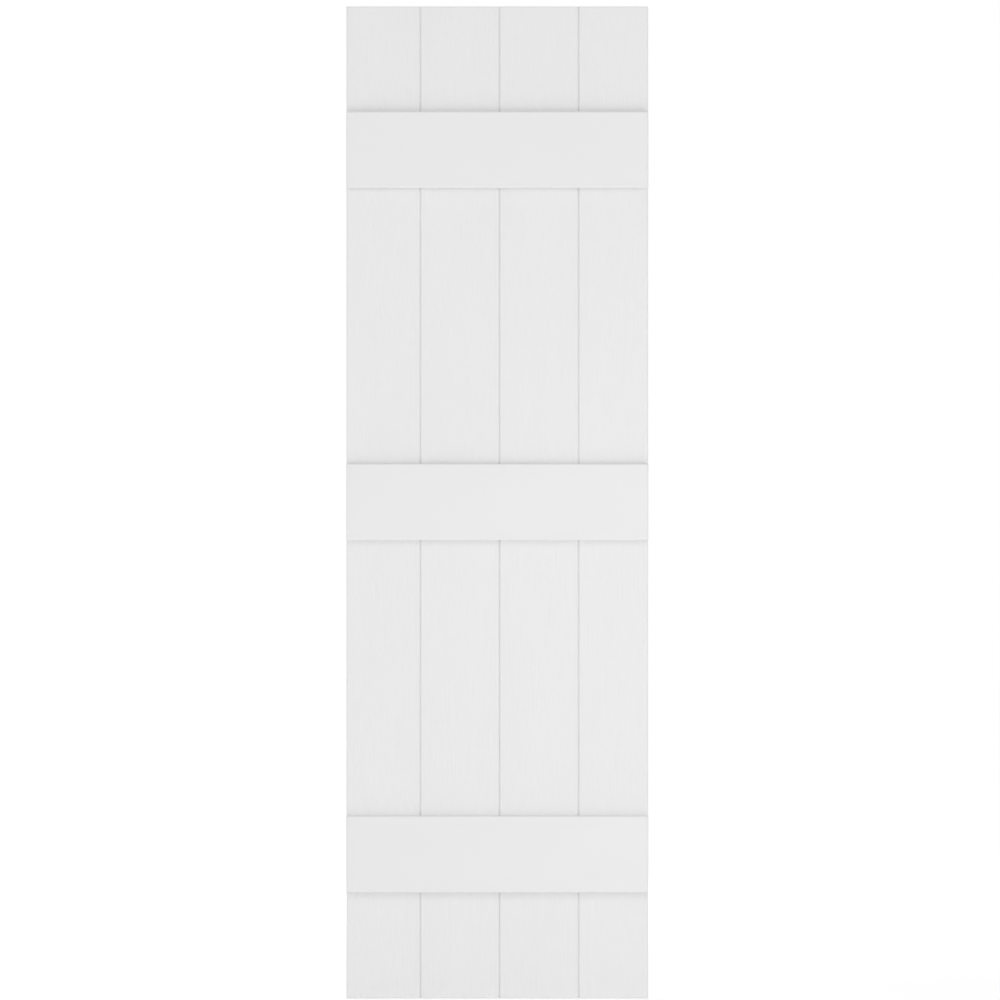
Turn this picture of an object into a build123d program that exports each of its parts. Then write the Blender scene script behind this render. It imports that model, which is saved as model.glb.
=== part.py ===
# Fixed exterior window shutter of the board-and-batten kind, made of vinyl sections.
#
# Four hollow extruded boards interlock edge to edge by tongue and groove. Three hollow extruded
# battens lie across their fronts. A moulded cap plugs each open end of every board and batten.
# The battens are screwed on from behind, through an access hole in a board's back wall, so that
# no fixing shows from the front. The holes are made here and the screws aren't.
#
# Frame: +Z is up, the shutter faces -Y, and the origin is the middle of its flat back, which
# lies against the wall.

from build123d import *
import os

# Driving dimensions, in millimetres

# The whole shutter
shutter_height = 1193.8         # over the end caps of the boards
shutter_width = 363.2           # over the end caps of the battens

# The joints between boards
board_pitch = 95.25             # from one joint to the next
left_board_width = 88.8         # from the shutter's left side to the first joint
board_count = 4

# Board section
board_depth = 16.0
board_wall = 1.5
board_web = 1.2
board_web_count = 2             # upright webs inside each board
board_front_chamfer = 1.6       # the bevelled lips make the V-groove between two boards
board_back_radius = 0.6

# Tongue and groove
joint_gap = 0.1                 # between the faces of two boards
tongue_length = 6.0
tongue_thickness = 5.0
tongue_tip_chamfer = 0.8
tongue_clearance = 0.2          # on each side of the tongue in its groove

# Batten section
batten_height = 92.0
batten_depth = 11.0
batten_wall = 1.5
batten_web = 1.2
batten_web_count = 2            # webs along each batten
batten_front_radius = 2.2
batten_back_radius = 0.4
top_margin = 127.0              # from the shutter's top to the top batten
bottom_margin = 128.0           # from the bottom batten to the shutter's bottom

# End caps
cap_flange = 1.6
cap_edge_chamfer = 0.4
plug_length = 9.0
plug_wall = 1.2
plug_clearance = 0.15

# Holes for the screw at each crossing of a board and a batten
access_hole_radius = 6.5        # for the screw's head and the driver, in the board's back wall
clearance_hole_radius = 2.4     # for the shank, in the board's front wall
pilot_hole_radius = 1.7         # for the thread, in the batten's back wall

# Places that follow from them

half_height = shutter_height / 2
half_width = shutter_width / 2
board_length = shutter_height - 2 * cap_flange
batten_length = shutter_width - 2 * cap_flange

board_front = -board_depth
batten_front = board_front - batten_depth
tongue_middle = -board_depth / 2
groove_depth = tongue_length
groove_height = tongue_thickness + 2 * tongue_clearance

joints = [-half_width + left_board_width + k * board_pitch for k in range(board_count - 1)]
edges = [-half_width] + joints + [half_width]

top_place = half_height - top_margin - batten_height / 2
bottom_place = -half_height + bottom_margin + batten_height / 2
batten_places = {
    "top_batten": top_place,
    "middle_batten": (top_place + bottom_place) / 2,
    "bottom_batten": bottom_place,
}
board_names = ["left_board", "inner_left_board", "inner_right_board", "right_board"]


def area(x_low, x_high, y_low, y_high):
    """A flat rectangle between two pairs of coordinates."""
    middle = Pos((x_low + x_high) / 2, (y_low + y_high) / 2)
    return middle * Rectangle(x_high - x_low, y_high - y_low)


def edged(face, operation, size_by_corner):
    """The face with a fillet or a chamfer of its own size at each corner that the dictionary names."""
    for corner, size in size_by_corner.items():
        at_corner = [v for v in face.vertices() if (v.center() - Vector(*corner)).length < 1e-6]
        face = operation(at_corner, size)
    return face


def spans(low, high, webs, web):
    """The (low, high) span of each chamber that the webs leave between two inner walls."""
    chamber = (high - low - webs * web) / (webs + 1)
    return [(low + k * (chamber + web), low + k * (chamber + web) + chamber) for k in range(webs + 1)]


class Board:
    """One board: its two sides, the chambers between its webs, and its section."""

    def __init__(self, index):
        self.has_groove = index > 0
        self.has_tongue = index < board_count - 1
        self.left = edges[index] + (joint_gap / 2 if self.has_groove else 0)
        self.right = edges[index + 1] - (joint_gap / 2 if self.has_tongue else 0)
        core_left = self.left + board_wall + (groove_depth if self.has_groove else 0)
        core_right = self.right - board_wall
        self.chambers = spans(core_left, core_right, board_web_count, board_web)

    def face(self):
        """The board's outline, without its tongue and groove: bevelled in front, rounded behind."""
        lips = {
            (self.left, board_front, 0): board_front_chamfer,
            (self.right, board_front, 0): board_front_chamfer,
        }
        back_corners = {
            (self.left, 0, 0): board_back_radius,
            (self.right, 0, 0): board_back_radius,
        }
        bevelled = edged(area(self.left, self.right, board_front, 0), chamfer, lips)
        return edged(bevelled, fillet, back_corners)

    def tongue(self, inset=0.0):
        """The tongue, or with an inset the hollow inside it, running into the board's body."""
        half = tongue_thickness / 2 - inset
        return area(
            self.right - board_wall,
            self.right + tongue_length - inset,
            tongue_middle - half,
            tongue_middle + half,
        )

    def groove(self, wall=0.0):
        """The groove, or with a wall the groove and the wall that lines it."""
        half = groove_height / 2 + wall
        return area(
            self.left,
            self.left + groove_depth + wall,
            tongue_middle - half,
            tongue_middle + half,
        )

    def section(self):
        """The hollow section that is extruded."""
        outline = self.face()
        hollow = area(self.left + board_wall, self.right - board_wall, board_front + board_wall, -board_wall)
        if self.has_tongue:
            outline += self.tongue()
            tips = outline.vertices().group_by(Axis.X)[-1]
            outline = chamfer(tips, tongue_tip_chamfer)
            hollow += self.tongue(inset=board_wall)
        if self.has_groove:
            outline -= self.groove()
            hollow -= self.groove(wall=board_wall)
        for (_, low), (high, _) in zip(self.chambers, self.chambers[1:]):
            hollow -= area(low, high, board_front, 0)
        return outline - hollow


def batten_chambers():
    """The spans of the batten's chambers, up its height and through its depth."""
    half = batten_height / 2 - batten_wall
    heights = spans(-half, half, batten_web_count, batten_web)
    depth = (batten_front + batten_wall, board_front - batten_wall)
    return heights, depth


def middle_of(chambers):
    """The middle of the middle chamber, or of the one after it where they are even in number."""
    low, high = chambers[len(chambers) // 2]
    return (low + high) / 2


def screw_point(board, batten_middle):
    """Where a board's screw passes into a batten, across the shutter and up it."""
    heights, _ = batten_chambers()
    return middle_of(board.chambers), batten_middle - middle_of(heights)


def hole(point, radius, y_low, y_high):
    """A round hole along Y between two depths."""
    x, z = point
    return Pos(x, (y_low + y_high) / 2, z) * Rot(90, 0, 0) * Cylinder(radius, y_high - y_low)


def make_board(board):
    """An extruded board, with an access hole and a clearance hole behind every batten."""
    section = Pos(0, 0, -board_length / 2) * board.section()
    solid = extrude(section, board_length, dir=(0, 0, 1))
    for batten_middle in batten_places.values():
        point = screw_point(board, batten_middle)
        solid -= hole(point, access_hole_radius, -board_wall, 0)
        solid -= hole(point, clearance_hole_radius, board_front, board_front + board_wall)
    return solid


def make_plug(x_span, y_span):
    """The open box of a cap that goes into one chamber, standing on the flange plane."""
    low_x, high_x = x_span[0] + plug_clearance, x_span[1] - plug_clearance
    low_y, high_y = y_span[0] + plug_clearance, y_span[1] - plug_clearance
    ring = area(low_x, high_x, low_y, high_y)
    ring -= area(low_x + plug_wall, high_x - plug_wall, low_y + plug_wall, high_y - plug_wall)
    return extrude(ring, plug_length, dir=(0, 0, 1))


def make_cap(outline, x_spans, y_span):
    """A cap lying flat: its flange below the plane z = 0, its plugs above it."""
    flange = extrude(outline, cap_flange, dir=(0, 0, -1))
    flange = chamfer(flange.faces().sort_by(Axis.Z)[0].edges(), cap_edge_chamfer)
    for x_span in x_spans:
        flange += make_plug(x_span, y_span)
    return flange


def make_board_caps(board):
    """The top and the bottom cap of a board."""
    inside = (board_front + board_wall, -board_wall)
    cap = make_cap(board.face(), board.chambers, inside)
    bottom = Pos(0, 0, -board_length / 2) * cap
    top = mirror(bottom, about=Plane.XY)
    return {"top_cap": top, "bottom_cap": bottom}


def batten_face():
    """A batten's outline, with its height along X and its depth along Y, front at the low side."""
    half = batten_height / 2
    corners = {
        (-half, batten_front, 0): batten_front_radius,
        (half, batten_front, 0): batten_front_radius,
        (-half, board_front, 0): batten_back_radius,
        (half, board_front, 0): batten_back_radius,
    }
    return edged(area(-half, half, batten_front, board_front), fillet, corners)


def lay_across(solid, batten_middle):
    """Turns a piece made along Z to lie along X, its height up, at the batten's place."""
    return Pos(0, 0, batten_middle) * Rot(0, 90, 0) * solid


def make_batten(boards, batten_middle):
    """An extruded batten, with a pilot hole in its back wall for every board's screw."""
    section = batten_face()
    heights, depth = batten_chambers()
    for height in heights:
        section -= area(*height, *depth)
    solid = extrude(Pos(0, 0, -batten_length / 2) * section, batten_length, dir=(0, 0, 1))
    solid = lay_across(solid, batten_middle)
    for board in boards:
        point = screw_point(board, batten_middle)
        solid -= hole(point, pilot_hole_radius, board_front - batten_wall, board_front)
    return solid


def make_batten_caps(batten_middle):
    """The caps of a batten's two ends."""
    heights, depth = batten_chambers()
    cap = make_cap(batten_face(), heights, depth)
    low_end = Pos(0, 0, -batten_length / 2) * cap
    left = lay_across(low_end, batten_middle)
    right = mirror(left, about=Plane.YZ)
    return {"left_cap": left, "right_cap": right}


def main():
    os.makedirs("parts", exist_ok=True)
    boards = [Board(k) for k in range(board_count)]
    nodes = {}
    for name, board in zip(board_names, boards):
        nodes[name] = make_board(board)
        for end, cap in make_board_caps(board).items():
            nodes[f"{name}_{end}"] = cap
    for name, batten_middle in batten_places.items():
        nodes[name] = make_batten(boards, batten_middle)
        for end, cap in make_batten_caps(batten_middle).items():
            nodes[f"{name}_{end}"] = cap
    for name, shape in nodes.items():
        export_step(shape, f"parts/{name}.step")


main()
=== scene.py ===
# Looks of the white vinyl shutter: embossed boards, smooth battens, moulded caps and the screws
# that hold the battens from behind, in a plain white studio.
#
# All lengths are in metres, unless a comment says millimetres. +Z is up, the shutter faces -Y and
# its flat back is the plane y = 0.

import math

import bmesh
import bpy
from mathutils import Matrix, Vector, noise


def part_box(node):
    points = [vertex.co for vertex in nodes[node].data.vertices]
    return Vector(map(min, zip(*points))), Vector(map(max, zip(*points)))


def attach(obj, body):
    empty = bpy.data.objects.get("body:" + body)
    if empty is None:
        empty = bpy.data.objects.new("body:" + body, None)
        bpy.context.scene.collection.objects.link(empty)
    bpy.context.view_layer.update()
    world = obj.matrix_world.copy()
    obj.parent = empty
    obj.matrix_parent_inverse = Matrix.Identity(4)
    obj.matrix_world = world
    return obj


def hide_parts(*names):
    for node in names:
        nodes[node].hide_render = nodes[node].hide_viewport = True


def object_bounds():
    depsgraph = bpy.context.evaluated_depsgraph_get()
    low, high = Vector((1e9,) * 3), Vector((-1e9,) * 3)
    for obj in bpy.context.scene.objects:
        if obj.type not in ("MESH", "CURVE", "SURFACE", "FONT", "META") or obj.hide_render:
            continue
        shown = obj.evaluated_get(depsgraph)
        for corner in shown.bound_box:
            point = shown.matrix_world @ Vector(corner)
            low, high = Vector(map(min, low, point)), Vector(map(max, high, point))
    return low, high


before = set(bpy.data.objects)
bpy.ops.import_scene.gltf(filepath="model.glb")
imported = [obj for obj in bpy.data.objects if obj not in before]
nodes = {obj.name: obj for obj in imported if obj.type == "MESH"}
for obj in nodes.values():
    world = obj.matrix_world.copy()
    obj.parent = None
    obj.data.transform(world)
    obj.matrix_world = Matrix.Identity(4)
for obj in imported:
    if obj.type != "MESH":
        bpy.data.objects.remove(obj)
cad_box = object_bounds()
mm = 0.001

# The shutter's nodes, and the planes of its boards, read from the frame

board_names = ["left_board", "inner_left_board", "inner_right_board", "right_board"]
batten_names = ["top_batten", "middle_batten", "bottom_batten"]
board_box = {name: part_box(name) for name in board_names}
batten_box = {name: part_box(name) for name in batten_names}
board_front = board_box["left_board"][0].y
board_bottom, board_top = board_box["left_board"][0].z, board_box["left_board"][1].z
board_wall = 1.5 * mm

# The embossed grain of the boards

grain_column = 0.5 * mm                 # spacing of the mesh across the board
grain_row = 4.0 * mm                    # and along it
grain_border = 1.5 * mm                 # plain margin in which the relief fades out
batten_overlap = 2.0 * mm               # how far the grain runs on under a batten
board_seed = 100.0                      # between one board's grain and the next one's

# Its marks: their spacing across and along the board in millimetres, the noise at which they
# begin and are full, and their depth
streak_spacing = (1.3, 28)              # fine lines
streak_range = (0.05, 0.45)
streak_depth = 0.14 * mm
furrow_spacing = (3.0, 90)              # broader, longer lines
furrow_range = (0.12, 0.5)
furrow_depth = 0.18 * mm
swell_spacing = (9.0, 300)              # soft waves between them
swell_range = (-0.5, 0.5)
swell_depth = 0.08 * mm

# How the marks wander sideways, slowly and more quickly, in millimetres
drift_spacing = (60, 220)
drift_reach = 5.0
quiver_spacing = (18, 60)
quiver_reach = 1.2

# Seams, edges and flat faces

cap_seam = 0.25 * mm                    # bevel of a cap's rim where it meets its board or batten
smooth_angle = math.radians(30)
flat_angle = math.radians(0.4)
merge_distance = 0.001 * mm
cut_tolerance = merge_distance / 10

# Screws that hold the battens

screw_head_radius = 4.0 * mm
screw_head_height = 2.4 * mm
screw_head_crown = 2.0 * mm             # radius of the flat top
screw_head_rim = 0.7 * mm               # height of the upright rim
screw_head_steps = 6                    # in the curve between the two
screw_sides = 32
screw_seat = board_front + board_wall   # on the inside of the board's front wall
screw_length = 10.0 * mm
point_length = 2.0 * mm
thread_radius = 2.0 * mm
thread_root = 1.5 * mm
thread_sink = 0.1 * mm                  # how far the thread is set into the shank
thread_pitch = 1.25 * mm
thread_flank = 0.4                      # height of each of its flanks, in pitches
thread_start = 0.6 * mm                 # below the head
thread_turns = 5
thread_steps = 20                       # to the turn
thread_least = 0.05                     # of its height, where it has faded out
recess_span = 4.6 * mm
recess_width = 1.0 * mm
recess_depth = 1.5 * mm
recess_taper = 0.6                      # its size at the bottom, to that at the top
first_screw_turn = 25                   # how far the recesses stand turned, in degrees
next_screw_turn = 37
access_hole_band = 6.0 * mm             # height on each side of its middle where its rim is read

# Finishes, as linear colours

vinyl_white = 0.82
cap_white = 0.81
zinc_grey = (0.62, 0.62, 0.61)
zinc_shade = 0.86                       # its darker patches, to the lighter ones
noise_low, noise_high = 0.3, 0.7        # where most of a noise pattern's values lie

# The studio

floor_size = 24.0
floor_white = 0.80
floor_glow = 0.164                      # light that the floor sends up
floor_shown_near = 0.19                 # more that only the camera and reflections see
floor_shown_far = 0.33                  # and as much away from the softboxes, so that it shows white
floor_near = 0.9                        # from the shutter's middle
floor_far = 1.9
surround_level = 0.64
softbox_side = 0.8
softboxes = {                           # place of each, and its power in watts
    "right": ((1.1, -1.8, -0.35), 5.3),
    "right_low": ((1.1, -1.8, -1.6), 2.6),
    "right_high": ((1.1, -1.8, 0.9), 3.6),
    "left_high": ((-0.9, -1.8, 0.9), 3.6),
    "left_side": ((-2.0, -0.5, -0.2), 3.2),
    "near": ((0.4, -1.1, -0.35), 0.9),
    "back_left": ((1.1, 1.8, -0.35), 9.0),
    "back_right": ((-1.1, 1.8, 0.35), 9.0),
}
view_height = 1.2033                    # what the picture's height takes in at the boards' fronts
view_centre = (3.2 * mm, 3.0 * mm)      # where the camera's axis meets them, across and up
lens = 200.0                            # in millimetres, as is the sensor
sensor = 36.0


# Meshes

def finished(name, bm, material):
    """The object of a finished bmesh, shaded smooth between its sharp edges."""
    bmesh.ops.recalc_face_normals(bm, faces=bm.faces)
    for edge in bm.edges:
        edge.smooth = len(edge.link_faces) == 2 and edge.calc_face_angle() < smooth_angle
    for face in bm.faces:
        face.smooth = True
    mesh = bpy.data.meshes.new(name)
    bm.to_mesh(mesh)
    bm.free()
    mesh.materials.append(material)
    piece = bpy.data.objects.new(name, mesh)
    bpy.context.scene.collection.objects.link(piece)
    shading = piece.modifiers.new("shading", "WEIGHTED_NORMAL")
    shading.keep_sharp = True
    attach(piece, "root")
    return piece


def copy_of_node(name):
    """A node's mesh with its loose triangles joined into flat faces."""
    bm = bmesh.new()
    bm.from_mesh(nodes[name].data)
    bmesh.ops.remove_doubles(bm, verts=bm.verts, dist=merge_distance)
    bmesh.ops.dissolve_limit(bm, angle_limit=flat_angle, verts=bm.verts, edges=bm.edges)
    return bm


def cut_across(bm, height):
    """Divides the faces of a mesh along the level plane at a height."""
    everything = bm.verts[:] + bm.edges[:] + bm.faces[:]
    bmesh.ops.bisect_plane(bm, geom=everything, plane_co=(0, 0, height), plane_no=(0, 0, 1))


def cut_in_strips(bm, faces, axis, low, high, count):
    """Cuts faces into so many equal strips between two places along an axis."""
    direction = Vector((0, 0, 0))
    direction[axis] = 1
    strips = []
    for step in range(1, count):
        place = low + (high - low) * step / count
        edges = {e for f in faces for e in f.edges}
        verts = {v for f in faces for v in f.verts}
        cut = bmesh.ops.bisect_plane(
            bm, geom=[*faces, *edges, *verts], dist=cut_tolerance,
            plane_co=place * direction, plane_no=direction
        )
        pieces = [g for g in cut["geom"] if isinstance(g, bmesh.types.BMFace)]
        faces = [f for f in pieces if f.calc_center_bounds()[axis] > place]
        strips += [f for f in pieces if f.calc_center_bounds()[axis] < place]
    return strips + faces


# Boards

def grained_fields():
    """The stretches of a board's length whose front shows, from the bottom to the top."""
    levels = [board_bottom]
    for name in reversed(batten_names):
        low, high = batten_box[name]
        levels += [low.z + batten_overlap, high.z - batten_overlap]
    levels.append(board_top)
    return list(zip(levels[::2], levels[1::2]))


def visible_front(bm, fields):
    """The faces of a board's flat front that lie in the fields."""
    found = []
    for face in bm.faces:
        middle = face.calc_center_bounds()
        flat = face.normal.angle(Vector((0, -1, 0)), math.pi) < flat_angle
        in_front = flat and abs(middle.y - board_front) < merge_distance
        if in_front and any(low < middle.z < high for low, high in fields):
            found.append(face)
    return found


def ramp(value, low, high):
    """A smooth step from 0 at low to 1 at high."""
    share = min(max((value - low) / (high - low), 0.0), 1.0)
    return share * share * (3 - 2 * share)


def drawn_noise(across, along, spacing, seed):
    """A noise about 0 that is drawn out along the board, at a place in millimetres."""
    return noise.noise(Vector((across / spacing[0], along / spacing[1], seed)))


def grain_depth(x, z, seed):
    """How deep the embossed grain lies at a point of a board's face."""
    across, along = x / mm, z / mm
    drift = drift_reach * drawn_noise(across, along, drift_spacing, seed)
    drift += quiver_reach * drawn_noise(across, along, quiver_spacing, seed + 10)
    across += drift
    streak = drawn_noise(across, along, streak_spacing, seed + 20)
    furrow = drawn_noise(across, along, furrow_spacing, seed + 30)
    swell = drawn_noise(across, along, swell_spacing, seed + 40)
    depth = streak_depth * ramp(streak, *streak_range)
    depth += furrow_depth * ramp(furrow, *furrow_range)
    depth += swell_depth * ramp(swell, *swell_range)
    return depth


def add_grain(bm, seed):
    """Cuts the flat front of each visible field into a fine mesh and embosses it."""
    fields = grained_fields()
    front = visible_front(bm, fields)
    across = [v.co.x for f in front for v in f.verts]
    left, right = min(across), max(across)
    columns = cut_in_strips(bm, front, 0, left, right, round((right - left) / grain_column))
    for low, high in fields:
        strips = [f for f in columns if low < f.calc_center_bounds().z < high]
        cells = cut_in_strips(bm, strips, 2, low, high, round((high - low) / grain_row))
        for vertex in {v for f in cells for v in f.verts}:
            x, _, z = vertex.co
            edge = min(x - left, right - x, z - low, high - z)
            vertex.co.y += grain_depth(x, z, seed) * ramp(edge, 0, grain_border)


def make_board(name, seed, material):
    """A board with its visible fields embossed."""
    bm = copy_of_node(name)
    for field in grained_fields():
        for height in field:
            cut_across(bm, height)
    add_grain(bm, seed)
    board = finished(name + "_embossed", bm, material)
    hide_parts(name)
    return board


# Battens

def make_batten(name, material):
    """A batten with its rounded edges shaded smooth."""
    batten = finished(name + "_section", copy_of_node(name), material)
    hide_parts(name)
    return batten


# Caps

def make_cap(node, material):
    """A cap whose rim is broken along the seam with the board or batten that it closes."""
    owner, end, _ = node.rsplit("_", 2)
    axis = 2 if end in ("top", "bottom") else 0
    low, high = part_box(owner)
    seam = (low if end in ("bottom", "left") else high)[axis]
    bm = copy_of_node(node)
    rim = [
        e for e in bm.edges
        if all(abs(v.co[axis] - seam) < merge_distance for v in e.verts)
        and any(abs(f.calc_center_median()[axis]) > abs(seam) + merge_distance for f in e.link_faces)
    ]
    bmesh.ops.bevel(
        bm, geom=rim, offset=cap_seam, affect="EDGES", segments=2, profile=0.5, material=-1
    )
    cap = finished(node + "_moulded", bm, material)
    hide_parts(node)
    return cap


# Screws

def screw_profile():
    """Half the outline of a pan-head screw on its axis, from the middle of the head to the point."""
    outline = [Vector((0, 0, screw_head_height))]
    for step in range(screw_head_steps + 1):
        angle = math.radians(90 - 90 * step / screw_head_steps)
        outline.append(Vector((
            screw_head_crown + (screw_head_radius - screw_head_crown) * math.cos(angle),
            0,
            screw_head_rim + (screw_head_height - screw_head_rim) * math.sin(angle),
        )))
    outline.append(Vector((screw_head_radius, 0, 0)))
    outline.append(Vector((thread_root, 0, 0)))
    outline.append(Vector((thread_root, 0, point_length - screw_length)))
    outline.append(Vector((0, 0, -screw_length)))
    return outline


def screw_blank():
    """The mesh of a screw's head and shank, with the head standing on z = 0."""
    bm = bmesh.new()
    points = [bm.verts.new(p) for p in screw_profile()]
    edges = [bm.edges.new(pair) for pair in zip(points, points[1:])]
    bmesh.ops.spin(
        bm, geom=points + edges, cent=(0, 0, 0), axis=(0, 0, 1),
        angle=math.radians(360), steps=screw_sides, use_merge=True
    )
    bmesh.ops.remove_doubles(bm, verts=bm.verts, dist=merge_distance)
    bmesh.ops.recalc_face_normals(bm, faces=bm.faces)
    mesh = bpy.data.meshes.new("screw_blank")
    bm.to_mesh(mesh)
    bm.free()
    return mesh


def recess_cutter():
    """The mesh that cuts the cross recess: two crossed wedges that narrow downwards."""
    bm = bmesh.new()
    top = Matrix.Translation((0, 0, screw_head_height))
    size = Matrix.Diagonal((recess_span, recess_width, 2 * recess_depth, 1))
    for turn in (0, 90):
        place = top @ Matrix.Rotation(math.radians(turn), 4, "Z") @ size
        wedge = bmesh.ops.create_cube(bm, size=1, matrix=place)
        for vertex in wedge["verts"]:
            if vertex.co.z < screw_head_height:
                vertex.co.x *= recess_taper
                vertex.co.y *= recess_taper
    bmesh.ops.recalc_face_normals(bm, faces=bm.faces)
    mesh = bpy.data.meshes.new("screw_recess")
    bm.to_mesh(mesh)
    bm.free()
    return mesh


def add_thread(bm):
    """A helical thread round the shank, fading out at both ends."""
    inner = thread_root - thread_sink
    flank = thread_flank * thread_pitch
    tooth = [
        bm.verts.new((inner, 0, -thread_start)),
        bm.verts.new((thread_radius, 0, -thread_start - flank)),
        bm.verts.new((inner, 0, -thread_start - 2 * flank)),
    ]
    sides = [bm.edges.new((tooth[k - 1], tooth[k])) for k in range(3)]
    turned = bmesh.ops.spin(
        bm, geom=tooth + sides, cent=(0, 0, 0), axis=(0, 0, 1),
        dvec=(0, 0, -thread_pitch / thread_steps),
        angle=math.radians(360 * thread_turns), steps=thread_steps * thread_turns
    )
    last = [v for v in turned["geom_last"] if isinstance(v, bmesh.types.BMVert)]
    bmesh.ops.contextual_create(bm, geom=tooth)
    bmesh.ops.contextual_create(bm, geom=last)
    end = thread_start + (thread_turns + thread_flank) * thread_pitch
    for vertex in bm.verts:
        out = math.hypot(vertex.co.x, vertex.co.y)
        depth = -vertex.co.z
        if out > thread_root + merge_distance and depth > merge_distance:
            share = min((depth - thread_start) / thread_pitch, (end - depth) / thread_pitch, 1.0)
            wanted = inner + (out - inner) * max(share, thread_least)
            vertex.co.x *= wanted / out
            vertex.co.y *= wanted / out


def finished_screw():
    """The mesh of one screw, with its recess cut by a Boolean modifier and its thread added."""
    blank = bpy.data.objects.new("screw_blank", screw_blank())
    cutter = bpy.data.objects.new("screw_recess", recess_cutter())
    for part in (blank, cutter):
        bpy.context.scene.collection.objects.link(part)
    cut = blank.modifiers.new("recess", "BOOLEAN")
    cut.operation = "DIFFERENCE"
    cut.object = cutter
    cut.use_self = True
    graph = bpy.context.evaluated_depsgraph_get()
    mesh = bpy.data.meshes.new_from_object(blank.evaluated_get(graph))
    bpy.data.objects.remove(blank)
    bpy.data.objects.remove(cutter)
    bm = bmesh.new()
    bm.from_mesh(mesh)
    add_thread(bm)
    bm.to_mesh(mesh)
    bm.free()
    return mesh


def screw_places(batten):
    """The middles of a batten's screws, read from the rims of the boards' access holes."""
    low, high = batten_box[batten]
    middle = (low.z + high.z) / 2
    places = []
    for name in board_names:
        rim = [
            v.co.x for v in nodes[name].data.vertices
            if abs(v.co.y) < merge_distance and abs(v.co.z - middle) < access_hole_band
        ]
        places.append(((min(rim) + max(rim)) / 2, middle))
    return places


def make_screws(batten, pattern, material):
    """The screws that hold one batten, as one piece."""
    bm = bmesh.new()
    for count, (x, z) in enumerate(screw_places(batten)):
        angle = math.radians(first_screw_turn + next_screw_turn * count)
        place = Matrix.Translation((x, screw_seat, z)) @ Matrix.Rotation(math.radians(-90), 4, "X")
        screw = pattern.copy()
        screw.transform(place @ Matrix.Rotation(angle, 4, "Z"))
        bm.from_mesh(screw)
        bpy.data.meshes.remove(screw)
    screws = finished(batten + "_screws", bm, material)
    return screws


# Materials

def new_material(name):
    """A material with its shader, and Object coordinates for its patterns."""
    material = bpy.data.materials.new(name)
    material.use_nodes = True
    tree = material.node_tree
    shader = tree.nodes["Principled BSDF"]
    place = tree.nodes.new("ShaderNodeTexCoord").outputs["Object"]
    return material, tree, shader, place


def stretched(tree, place, scale):
    """The coordinates scaled by three factors, so that a pattern draws out along the small one."""
    mapping = tree.nodes.new("ShaderNodeMapping")
    mapping.inputs["Scale"].default_value = scale
    tree.links.new(place, mapping.inputs["Vector"])
    return mapping.outputs["Vector"]


def noise_pattern(tree, place, per_metre, detail=2.0, roughness=0.5):
    """A noise from 0 to 1, with so many features to the metre."""
    pattern = tree.nodes.new("ShaderNodeTexNoise")
    pattern.inputs["Scale"].default_value = per_metre
    pattern.inputs["Detail"].default_value = detail
    pattern.inputs["Roughness"].default_value = roughness
    tree.links.new(place, pattern.inputs["Vector"])
    return pattern.outputs["Fac"]


def ranged(tree, value, low, high, from_low=noise_low, from_high=noise_high):
    """A pattern's value spread over a range."""
    spread = tree.nodes.new("ShaderNodeMapRange")
    spread.inputs["From Min"].default_value = from_low
    spread.inputs["From Max"].default_value = from_high
    spread.inputs["To Min"].default_value = low
    spread.inputs["To Max"].default_value = high
    tree.links.new(value, spread.inputs["Value"])
    return spread.outputs["Result"]


def colour_between(tree, value, dark, light):
    """A colour between two others, chosen by a pattern."""
    mix = tree.nodes.new("ShaderNodeValToRGB")
    stops = zip(mix.color_ramp.elements, (dark, light), (noise_low, noise_high))
    for stop, colour, position in stops:
        stop.color = (*colour, 1.0)
        stop.position = position
    tree.links.new(value, mix.inputs["Fac"])
    return mix.outputs["Color"]


def grey(value):
    """The colour of a grey."""
    return (value, value, value)


def bumped(tree, height, distance, below=None):
    """A bump of a height in metres, on top of the bump that is given."""
    bump = tree.nodes.new("ShaderNodeBump")
    bump.inputs["Strength"].default_value = 1.0
    bump.inputs["Distance"].default_value = distance
    tree.links.new(height, bump.inputs["Height"])
    if below is not None:
        tree.links.new(below, bump.inputs["Normal"])
    return bump.outputs["Normal"]


def board_vinyl():
    """Extruded white vinyl with fine embossed wood fibres along its length."""
    material, tree, shader, place = new_material("board_vinyl")
    fibres = noise_pattern(tree, stretched(tree, place, (1, 1, 0.03)), per_metre=1600, detail=3)
    pores = noise_pattern(tree, stretched(tree, place, (1, 1, 0.12)), per_metre=2600, detail=1)
    clouds = noise_pattern(tree, stretched(tree, place, (1, 1, 0.25)), per_metre=14, detail=3)
    colour = colour_between(tree, clouds, grey(vinyl_white - 0.006), grey(vinyl_white + 0.006))
    tree.links.new(colour, shader.inputs["Base Color"])
    tree.links.new(ranged(tree, fibres, low=0.46, high=0.58), shader.inputs["Roughness"])
    normal = bumped(tree, fibres, distance=0.05 * mm)
    normal = bumped(tree, pores, distance=0.02 * mm, below=normal)
    tree.links.new(normal, shader.inputs["Normal"])
    return material


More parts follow.
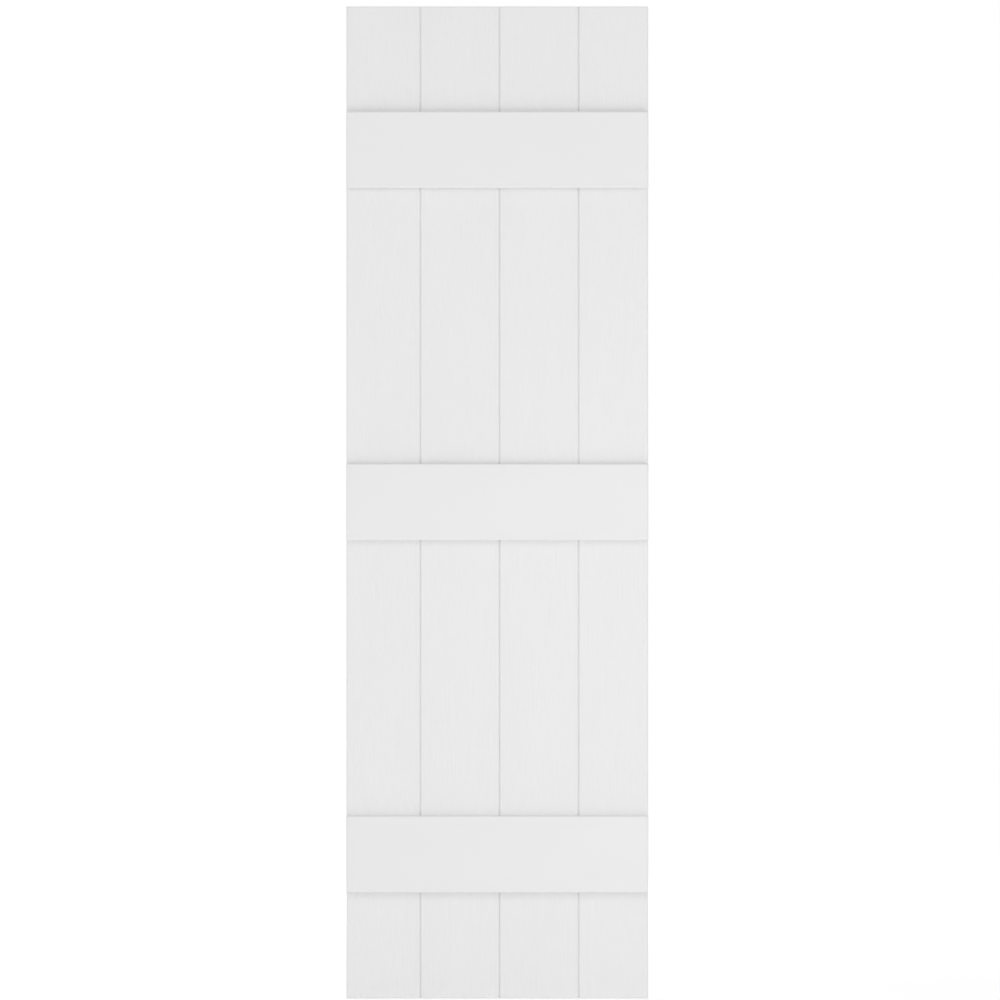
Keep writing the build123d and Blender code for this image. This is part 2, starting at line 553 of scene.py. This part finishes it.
def batten_vinyl():
    """Smooth extruded white vinyl with faint draw lines along the batten."""
    material, tree, shader, place = new_material("batten_vinyl")
    lines = noise_pattern(tree, stretched(tree, place, (0.01, 1, 1)), per_metre=700, detail=2)
    skin = noise_pattern(tree, place, per_metre=1800, detail=2)
    clouds = noise_pattern(tree, stretched(tree, place, (0.3, 1, 1)), per_metre=12, detail=3)
    colour = colour_between(tree, clouds, grey(vinyl_white - 0.005), grey(vinyl_white + 0.005))
    tree.links.new(colour, shader.inputs["Base Color"])
    tree.links.new(ranged(tree, skin, low=0.42, high=0.50), shader.inputs["Roughness"])
    normal = bumped(tree, lines, distance=0.010 * mm)
    normal = bumped(tree, skin, distance=0.006 * mm, below=normal)
    tree.links.new(normal, shader.inputs["Normal"])
    return material


def cap_vinyl():
    """Moulded white vinyl with a fine spark-eroded skin."""
    material, tree, shader, place = new_material("cap_vinyl")
    skin = noise_pattern(tree, place, per_metre=3200, detail=3, roughness=0.7)
    flow = noise_pattern(tree, place, per_metre=60, detail=2)
    colour = colour_between(tree, flow, grey(cap_white - 0.008), grey(cap_white + 0.008))
    tree.links.new(colour, shader.inputs["Base Color"])
    tree.links.new(ranged(tree, skin, low=0.50, high=0.62), shader.inputs["Roughness"])
    tree.links.new(bumped(tree, skin, distance=0.03 * mm), shader.inputs["Normal"])
    return material


def zinc_steel():
    """Zinc-plated screw steel, a little mottled."""
    material, tree, shader, place = new_material("zinc_steel")
    shader.inputs["Metallic"].default_value = 1.0
    mottle = noise_pattern(tree, place, per_metre=900, detail=3)
    darker = tuple(zinc_shade * c for c in zinc_grey)
    tree.links.new(colour_between(tree, mottle, darker, zinc_grey), shader.inputs["Base Color"])
    tree.links.new(ranged(tree, mottle, low=0.28, high=0.42), shader.inputs["Roughness"])
    tree.links.new(bumped(tree, mottle, distance=0.01 * mm), shader.inputs["Normal"])
    return material


# The studio

def seen_ray(tree):
    """1 for a ray that the camera, a reflection or a clear piece sends out, and 0 for light."""
    path = tree.nodes.new("ShaderNodeLightPath")
    seen = path.outputs["Is Camera Ray"]
    for ray in ("Is Glossy Ray", "Is Transmission Ray"):
        either = tree.nodes.new("ShaderNodeMath")
        either.operation = "MAXIMUM"
        tree.links.new(seen, either.inputs[0])
        tree.links.new(path.outputs[ray], either.inputs[1])
        seen = either.outputs[0]
    return seen


def floor_paper():
    """Matt white paper that glows a little, and more where it is seen far from the softboxes."""
    material, tree, shader, place = new_material("floor_paper")
    shader.inputs["Roughness"].default_value = 0.9
    shader.inputs["Specular IOR Level"].default_value = 0.0
    shader.inputs["Emission Color"].default_value = (1, 1, 1, 1)
    distance = tree.nodes.new("ShaderNodeVectorMath")
    distance.operation = "LENGTH"
    tree.links.new(place, distance.inputs[0])
    near, far = floor_glow + floor_shown_near, floor_glow + floor_shown_far
    shown = ranged(tree, distance.outputs["Value"], near, far, floor_near, floor_far)
    glow = tree.nodes.new("ShaderNodeMapRange")
    glow.inputs["To Min"].default_value = floor_glow
    tree.links.new(shown, glow.inputs["To Max"])
    tree.links.new(seen_ray(tree), glow.inputs["Value"])
    tree.links.new(glow.outputs["Result"], shader.inputs["Emission Strength"])
    clouds = noise_pattern(tree, place, per_metre=3, detail=2)
    colour = colour_between(tree, clouds, grey(floor_white - 0.01), grey(floor_white))
    tree.links.new(colour, shader.inputs["Base Color"])
    return material


def make_floor():
    """A pale floor under the shutter, which lights it from below and shows white."""
    bm = bmesh.new()
    level = Matrix.Translation((0, 0, cad_box[0].z))
    bmesh.ops.create_grid(bm, x_segments=1, y_segments=1, size=floor_size / 2, matrix=level)
    mesh = bpy.data.meshes.new("floor")
    bm.to_mesh(mesh)
    bm.free()
    mesh.materials.append(floor_paper())
    floor = bpy.data.objects.new("floor", mesh)
    bpy.context.scene.collection.objects.link(floor)


def make_surround():
    """A white surround that lights at one level and shows as white."""
    world = bpy.data.worlds.new("studio")
    bpy.context.scene.world = world
    world.use_nodes = True
    tree = world.node_tree
    level = tree.nodes.new("ShaderNodeMapRange")
    level.inputs["To Min"].default_value = surround_level
    level.inputs["To Max"].default_value = 1.0
    tree.links.new(seen_ray(tree), level.inputs["Value"])
    background = tree.nodes["Background"]
    background.inputs["Color"].default_value = (1, 1, 1, 1)
    tree.links.new(level.outputs["Result"], background.inputs["Strength"])


def make_softbox(name, place, power, shutter):
    """A square soft light, hidden from the camera, that faces the shutter's middle.

    Only the shutter stands in its way, so the one that is lower than the floor lights it too.
    """
    light = bpy.data.lights.new(name, "AREA")
    light.shape = "SQUARE"
    light.size = softbox_side
    light.energy = power
    softbox = bpy.data.objects.new(name, light)
    softbox.location = place
    softbox.rotation_euler = (-Vector(place)).to_track_quat("-Z", "Y").to_euler()
    softbox.visible_camera = False
    softbox.light_linking.blocker_collection = shutter
    bpy.context.scene.collection.objects.link(softbox)


def make_camera():
    """The photograph's view: straight on, from far off."""
    data = bpy.data.cameras.new("camera")
    data.lens = lens
    data.sensor_width = sensor
    distance = view_height * lens / sensor
    camera = bpy.data.objects.new("camera", data)
    camera.location = (view_centre[0], board_front - distance, view_centre[1])
    camera.rotation_euler = (math.radians(90), 0, 0)
    bpy.context.scene.collection.objects.link(camera)
    bpy.context.scene.camera = camera


# The whole picture

def make_shutter():
    """The pieces of the shutter, each in its finish."""
    boards = board_vinyl()
    pieces = [make_board(name, board_seed * count, boards) for count, name in enumerate(board_names)]
    battens = batten_vinyl()
    pieces += [make_batten(name, battens) for name in batten_names]
    caps = cap_vinyl()
    pieces += [make_cap(node, caps) for node in sorted(nodes) if node.endswith("_cap")]
    steel = zinc_steel()
    screw = finished_screw()
    pieces += [make_screws(name, screw, steel) for name in batten_names]
    return pieces


def make_studio(pieces):
    """The floor, the surround, the softboxes and the camera."""
    make_floor()
    make_surround()
    shutter = bpy.data.collections.new("shutter")
    for piece in pieces:
        shutter.objects.link(piece)
    for name, (place, power) in softboxes.items():
        make_softbox(name, place, power, shutter)
    make_camera()
    bpy.context.scene.view_settings.view_transform = "Standard"


make_studio(make_shutter())
